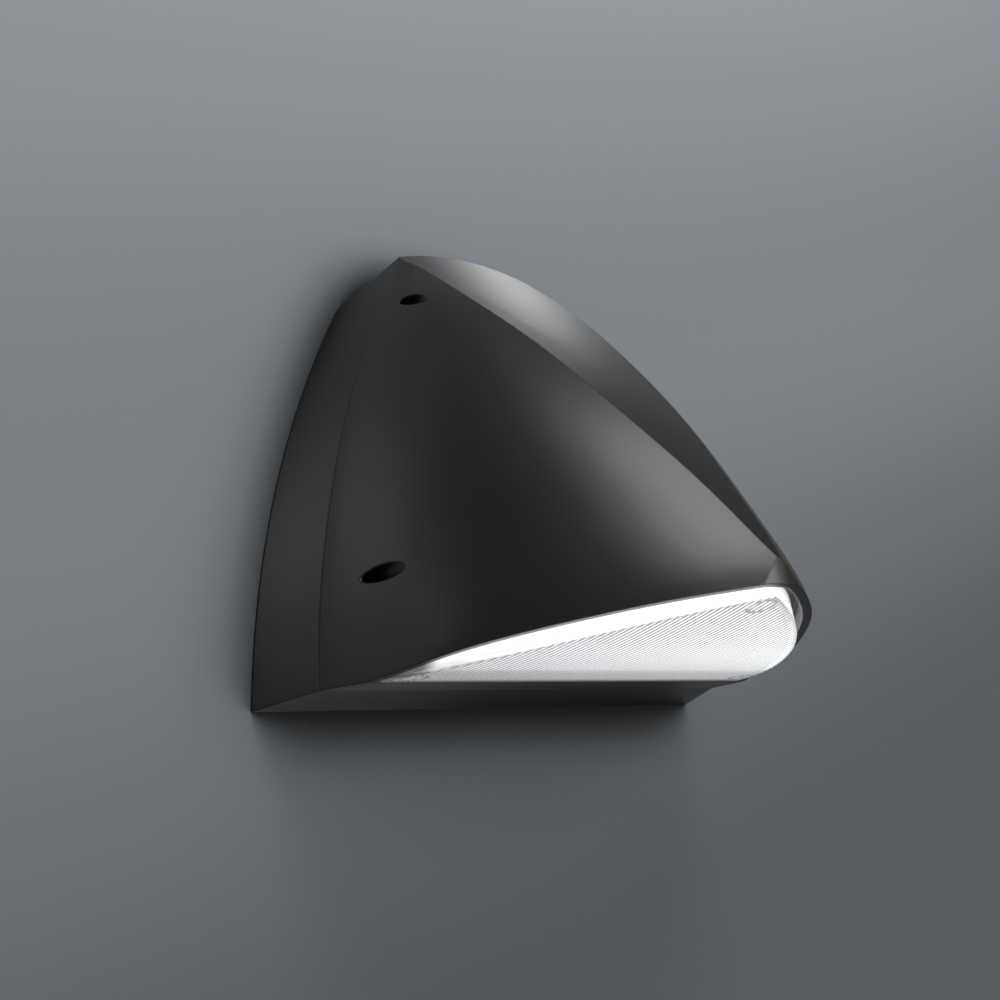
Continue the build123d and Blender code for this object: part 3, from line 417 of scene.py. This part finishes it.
ROLLING_SIZE = 0.0003
ROLLING_STRETCH = (0.03, 1.0, 1.0)
MASK_CELL, MASK_DARK, MASK_STOP, MASK_EDGE = 0.009, 0.93, 0.05, 0.09
EMITTER_LIGHT = (1.0, 0.97, 0.90, 1.0)
EMITTER_GLOW = 0.5
# Colour of the reflector's painted light.
REFLECTOR_PAINTED_LIGHT = (1.0, 1.0, 0.99, 1.0)


class WALLLIGHT_OT_lamp_unit(bpy.types.Operator):
    """Finish the bracket, the lamp board, its emitters and the reflector"""

    bl_idname = "wall_light.lamp_unit"
    bl_label = "Lamp Unit"

    def execute(self, context):
        lamp = context.scene.wall_light_lamp
        plate = Finish("Rolled_Aluminium", lamp.plate, roughness=0.34, metallic=1.0)
        lines = plate.noise(ROLLING_SIZE, detail=2.0, vector=plate.stretched(ROLLING_STRETCH))
        plate.vary(plate.noise(0.02, detail=3.0), spread=0.06)
        plate.vary_roughness(lines, low=0.26, high=0.46)
        plate.bump(lines, depth=0.00002)
        dress(plate, "heat_sink_bracket")

        mask = Finish("White_Lamp_Board", lamp.mask, roughness=0.34,
                      Coat_Weight=0.25, Coat_Roughness=0.25)
        tracks = mask.cell_edges(MASK_CELL)
        mask.join(mask.ramp(tracks, (MASK_STOP, scaled(mask.base, MASK_DARK)),
                            (MASK_EDGE, mask.base)), "Base Color")
        mask.bump(tracks, depth=0.00003)
        dress(mask, "led_board")

        emitter = Finish("Emitter_Phosphor", lamp.phosphor, roughness=0.42)
        emitter.set("Emission Color", EMITTER_LIGHT)
        emitter.set("Emission Strength", EMITTER_GLOW)
        emitter.vary(emitter.noise(0.0008, detail=2.0), spread=0.06)
        dress(emitter, "led_chips")

        sheet = Finish("White_Reflector_Sheet", lamp.reflector, roughness=0.24,
                       Coat_Weight=0.3, Coat_Roughness=0.15)
        # Painted light: the reflector is given its own emission.
        sheet.set("Emission Color", REFLECTOR_PAINTED_LIGHT)
        sheet.set("Emission Strength", lamp.painted_glow)
        sheet.vary(sheet.noise(0.012, detail=2.0), spread=0.02)
        sheet.bump(sheet.noise(0.004, detail=2.0), depth=0.00003)
        dress(sheet, "reflector")
        return {"FINISHED"}


# Painted light: strength of the lens's own emission.
LENS_PAINTED_GLOW = 0.46
# Painted shade on the lens: grey grooves between the ribs, grey outlines of the screw bosses,
# darker towards the shelf, and a grey line along the belly's edge.
BELLY_REAR, BELLY_NOSE = -0.049, -0.145
WALL_TURN, BELLY_TURN = -0.45, -0.75
RIB_HALF_PITCH = 0.00105
GROOVE_STOP, RIB_STOP = 0.05, 0.80
REAR_PAINTED_SHADE = 0.25
BELLY_GREY = (0.62, 0.62, 0.63)
BELLY_GREY_STOP, BELLY_WHITE_STOP = 0.07, 0.55
WALL_GREY_STOP, WALL_WHITE_STOP = 0.16, 0.23
BELLY_PAINTED_SHADE = 0.9
BOSSES = ((-0.073, -0.058), (0.073, -0.058), (0.0, -0.139))
BOSS_RADIUS = 0.0044
BOSS_EDGE = 0.0012
# Painted shade: a grey line along the rounded corner where the belly meets the lens's wall.
SCALLOP_HALF = 0.0024
SCALLOP_TURN = 0.10
SCALLOP_DEPTH = 0.85


def boss_ring(lens, place, x, y):
    """One on the outline of the screw boss at x, y, and nought away from it."""
    across = lens.maths("SUBTRACT", place["X"], x)
    along = lens.maths("SUBTRACT", place["Y"], y)
    away = lens.maths("SQRT", lens.maths("ADD", lens.maths("MULTIPLY", across, across),
                                         lens.maths("MULTIPLY", along, along)))
    off = lens.maths("ABSOLUTE", lens.maths("SUBTRACT", away, BOSS_RADIUS))
    return lens.between(off, BOSS_EDGE, 0.0)


def painted_lens_shade(lens, settings):
    """White, with painted shade: grey grooves and grey screw boss outlines on the belly, darker
    towards the shelf, and a grey line along the belly's edge.
    """
    place = lens.node("SeparateXYZ", {0: lens.place}).outputs
    normal = lens.node("NewGeometry").outputs["Normal"]
    facing = lens.node("SeparateXYZ", {0: normal}).outputs["Z"]
    belly = lens.between(facing, WALL_TURN, BELLY_TURN)
    # Painted shade: the grooves between the ribs are greyed.
    groove = lens.maths("DIVIDE", lens.maths("PINGPONG", place["X"], RIB_HALF_PITCH),
                        RIB_HALF_PITCH)
    ribs = lens.ramp(groove, (GROOVE_STOP, settings.groove), (RIB_STOP, WHITE))
    # Painted shade: the lens darkens towards the shelf, on the belly and on its wall.
    depth = lens.between(place["Y"], BELLY_REAR, BELLY_NOSE)
    rear = scaled(settings.ring, REAR_PAINTED_SHADE)
    fade = lens.ramp(depth, (0.0, rear), (BELLY_GREY_STOP, BELLY_GREY), (BELLY_WHITE_STOP, WHITE))
    wall = lens.ramp(depth, (0.0, rear), (WALL_GREY_STOP, settings.ring), (WALL_WHITE_STOP, WHITE))
    shade = lens.mix(BELLY_PAINTED_SHADE, ribs, fade, "MULTIPLY")
    # Painted shade: grey outlines where the screw bosses show through the lens.
    for x, y in BOSSES:
        shade = lens.mix(boss_ring(lens, place, x, y), shade, settings.ring)
    shade = lens.mix(belly, wall, shade)
    # Painted shade: grey line along the corner between the belly and the lens's wall.
    corner = lens.maths("GREATER_THAN", lens.edge_wear_and_shade(SCALLOP_HALF, strength=1.0), SCALLOP_TURN)
    return lens.mix(lens.maths("MULTIPLY", corner, SCALLOP_DEPTH), shade, settings.ring)


class WALLLIGHT_OT_lens(bpy.types.Operator):
    """Finish the ribbed lens as lightly frosted plastic, with painted light and painted shade"""

    bl_idname = "wall_light.lens"
    bl_label = "Lens"

    def execute(self, context):
        lamp = context.scene.wall_light_lamp
        lens = Finish("Ribbed_Lens_Plastic", lamp.lens, roughness=0.10, IOR=1.49,
                      Transmission_Weight=1.0 - lamp.frost)
        haze = lens.noise(0.006, detail=3.0)
        shade = painted_lens_shade(lens, lamp)
        # The painted shade also darkens the lens's base colour.
        lens.join(lens.mix(1.0, shade, lens.base, "MULTIPLY"), "Base Color")
        # Painted light: the lens is given its own emission, shaded by the painted lens shade.
        lens.join(shade, "Emission Color")
        lens.set("Emission Strength", LENS_PAINTED_GLOW)
        lens.vary_roughness(haze, low=0.06, high=0.14)
        lens.bump(lens.noise(0.0012, detail=2.0), depth=0.000008)
        dress(lens, "lens")
        return {"FINISHED"}


def plane(name, corners, finish):
    """A flat stage face through its corners."""
    mesh = bpy.data.meshes.new(name)
    mesh.from_pydata([Vector(corner) for corner in corners], [], [tuple(range(len(corners)))])
    mesh.materials.append(finish.material)
    made = bpy.data.objects.new(name, mesh)
    bpy.context.scene.collection.objects.link(made)


def see_through_behind(finish):
    """Hide a face from behind, and let lamps behind it reach what stands in front."""
    behind = finish.node("NewGeometry").outputs["Backfacing"]
    shadow = finish.node("LightPath").outputs["Is Shadow Ray"]
    clear = finish.node("BsdfTransparent").outputs["BSDF"]
    mix = finish.node("MixShader", {0: finish.maths("MAXIMUM", behind, shadow),
                                    1: finish.shader.outputs["BSDF"], 2: clear})
    finish.tree.links.new(mix.outputs["Shader"],
                          finish.tree.nodes["Material Output"].inputs["Surface"])


WALL_HALF_WIDTH = 2.4
WALL_RISE = 2.0
WALL_GAP = 0.0004
FLOOR_REACH = 4.0
# Painted shade on the wall: where its colour goes from dark at the bottom to light at the top.
SHADE_LOW = -0.19
SHADE_HIGH = 0.33
SHADE_TILT = 0.33
SHADE_MIDDLE_STOP = 0.45
# Painted contact shadow on the wall close round the base.
CONTACT_SHADE = (0.10, 0.10, 0.10)
CONTACT_STOP, CLEAR_STOP = 0.55, 0.98
SKY_COLOUR = (1.0, 0.985, 0.965, 1.0)


def paint_wall(settings):
    """Matt wall with painted shade that darkens downwards, and a painted contact shadow close
    round the base.
    """
    wall = Finish("Matt_Wall_Paint", settings.wall_middle, roughness=0.9, Specular_IOR_Level=0.15)
    parts = wall.node("SeparateXYZ", {0: wall.place}).outputs
    # Painted shade: the wall's colour darkens downwards and a little towards +x.
    level = wall.maths("SUBTRACT", parts["Z"], wall.maths("MULTIPLY", parts["X"], SHADE_TILT))
    paint = wall.ramp(wall.between(level, SHADE_LOW, SHADE_HIGH), (0.0, settings.wall_bottom),
                      (SHADE_MIDDLE_STOP, settings.wall_middle), (1.0, settings.wall_top))
    # Painted contact shadow: ambient occlusion darkens the wall's colour close round the base.
    open_air = wall.node("AmbientOcclusion", {"Distance": settings.contact}, samples=8)
    dark = wall.ramp(open_air.outputs["AO"], (CONTACT_STOP, CONTACT_SHADE), (CLEAR_STOP, WHITE))
    wall.join(wall.mix(1.0, paint, dark, "MULTIPLY"), "Base Color")
    wall.bump(wall.noise(0.0025, detail=3.0), depth=0.00002)
    see_through_behind(wall)
    return wall


LAMPS = (
    # name, place, size, power, aim
    ("Key_Lamp", (-0.02, -1.00, 1.22), 0.64, 9.0, (0.0, -0.06, 0.02)),
    ("Crown_Lamp", (0.61, 0.32, 0.82), 0.18, 0.8, (0.0, -0.06, 0.05)),
    ("Edge_Lamp", (-0.86, 0.44, 0.68), 0.35, 0.6, (0.0, -0.04, 0.0)),
    ("Fill_Lamp", (0.35, -1.60, -0.10), 1.40, 30.0, (0.0, 0.0, 0.0)),
    ("Back_Lamp", (0.30, 1.50, 0.05), 1.00, 14.0, (0.0, 0.0, 0.0)),
)

CAMERA_PLACE = (-0.313, -0.411, -0.184)
CAMERA_TURN = math.radians(39.0)
CAMERA_RISE = math.radians(19.2)
CAMERA_ROLL = math.radians(-9.6)
CAMERA_LENS = 50.0


def add_lamp(name, place, size, power, aim):
    """A soft square lamp that looks at a point."""
    data = bpy.data.lights.new(name, "AREA")
    data.shape = "SQUARE"
    data.size = size
    data.energy = power
    lamp = bpy.data.objects.new(name, data)
    lamp.location = place
    lamp.rotation_mode = "QUATERNION"
    lamp.rotation_quaternion = (Vector(aim) - Vector(place)).to_track_quat("-Z", "Y")
    bpy.context.scene.collection.objects.link(lamp)


def add_camera():
    """The photograph's view: from the left, a little below, looking up with a slight roll."""
    turn, rise, roll = CAMERA_TURN, CAMERA_RISE, CAMERA_ROLL
    ahead = Vector((math.sin(turn) * math.cos(rise), math.cos(turn) * math.cos(rise),
                    math.sin(rise)))
    level = Vector((math.cos(turn), -math.sin(turn), 0.0))
    upright = level.cross(ahead)
    right = level * math.cos(roll) + upright * math.sin(roll)
    up = upright * math.cos(roll) - level * math.sin(roll)
    data = bpy.data.cameras.new("Camera")
    data.lens = CAMERA_LENS
    data.clip_start = 0.01
    camera = bpy.data.objects.new("Camera", data)
    pose = Matrix((right, up, -ahead)).transposed().to_4x4()
    pose.translation = Vector(CAMERA_PLACE)
    camera.matrix_world = pose
    bpy.context.scene.collection.objects.link(camera)
    bpy.context.scene.camera = camera


class WALLLIGHT_OT_stage(bpy.types.Operator):
    """Set up the wall, the floor, the lamps and the camera"""

    bl_idname = "wall_light.stage"
    bl_label = "Stage"

    def execute(self, context):
        stage = context.scene.wall_light_stage
        wide, low = WALL_HALF_WIDTH, -stage.drop
        plane("Wall", [(-wide, WALL_GAP, low), (wide, WALL_GAP, low),
                       (wide, WALL_GAP, WALL_RISE), (-wide, WALL_GAP, WALL_RISE)],
              paint_wall(stage))
        floor = moulded("Pale_Floor", stage.floor, roughness=0.7, grain=0.004, spread=0.02)
        far = FLOOR_REACH
        plane("Floor", [(-far, -far, low), (far, -far, low), (far, far, low), (-far, far, low)],
              floor)
        world = bpy.data.worlds.new("Soft_Surround")
        world.use_nodes = True
        sky = world.node_tree.nodes["Background"]
        sky.inputs["Color"].default_value = SKY_COLOUR
        sky.inputs["Strength"].default_value = stage.fill
        context.scene.world = world
        context.scene.view_settings.view_transform = "Standard"
        for row in LAMPS:
            add_lamp(*row)
        add_camera()
        return {"FINISHED"}


class WALLLIGHT_PT_panel(bpy.types.Panel):
    """Buttons for each group of pieces and for the stage"""

    bl_label = "Wall Light"
    bl_idname = "WALLLIGHT_PT_panel"
    bl_space_type = "VIEW_3D"
    bl_region_type = "UI"
    bl_category = "Wall Light"

    def draw(self, context):
        for operator in OPERATORS:
            self.layout.operator(operator.bl_idname)


SETTINGS = {
    "wall_light_castings": CastingSettings,
    "wall_light_seals": SealSettings,
    "wall_light_fasteners": FastenerSettings,
    "wall_light_wiring": WiringSettings,
    "wall_light_lamp": LampSettings,
    "wall_light_stage": StageSettings,
}
OPERATORS = (WALLLIGHT_OT_castings, WALLLIGHT_OT_seals, WALLLIGHT_OT_fasteners,
             WALLLIGHT_OT_wiring, WALLLIGHT_OT_driver, WALLLIGHT_OT_lamp_unit,
             WALLLIGHT_OT_lens, WALLLIGHT_OT_stage)


def register():
    """Register the settings, the operators and the panel."""
    for group in SETTINGS.values():
        bpy.utils.register_class(group)
    for name, group in SETTINGS.items():
        setattr(bpy.types.Scene, name, PointerProperty(type=group))
    for operator in OPERATORS:
        bpy.utils.register_class(operator)
    bpy.utils.register_class(WALLLIGHT_PT_panel)


def unregister():
    """Take everything that register added away again."""
    bpy.utils.unregister_class(WALLLIGHT_PT_panel)
    for operator in reversed(OPERATORS):
        bpy.utils.unregister_class(operator)
    for name, group in reversed(SETTINGS.items()):
        delattr(bpy.types.Scene, name)
        bpy.utils.unregister_class(group)


def main():
    """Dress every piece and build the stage."""
    register()
    bpy.ops.wall_light.castings()
    bpy.ops.wall_light.seals()
    bpy.ops.wall_light.fasteners()
    bpy.ops.wall_light.wiring()
    bpy.ops.wall_light.driver()
    bpy.ops.wall_light.lamp_unit()
    bpy.ops.wall_light.lens()
    bpy.ops.wall_light.stage()


if __name__ == "__main__":
    main()
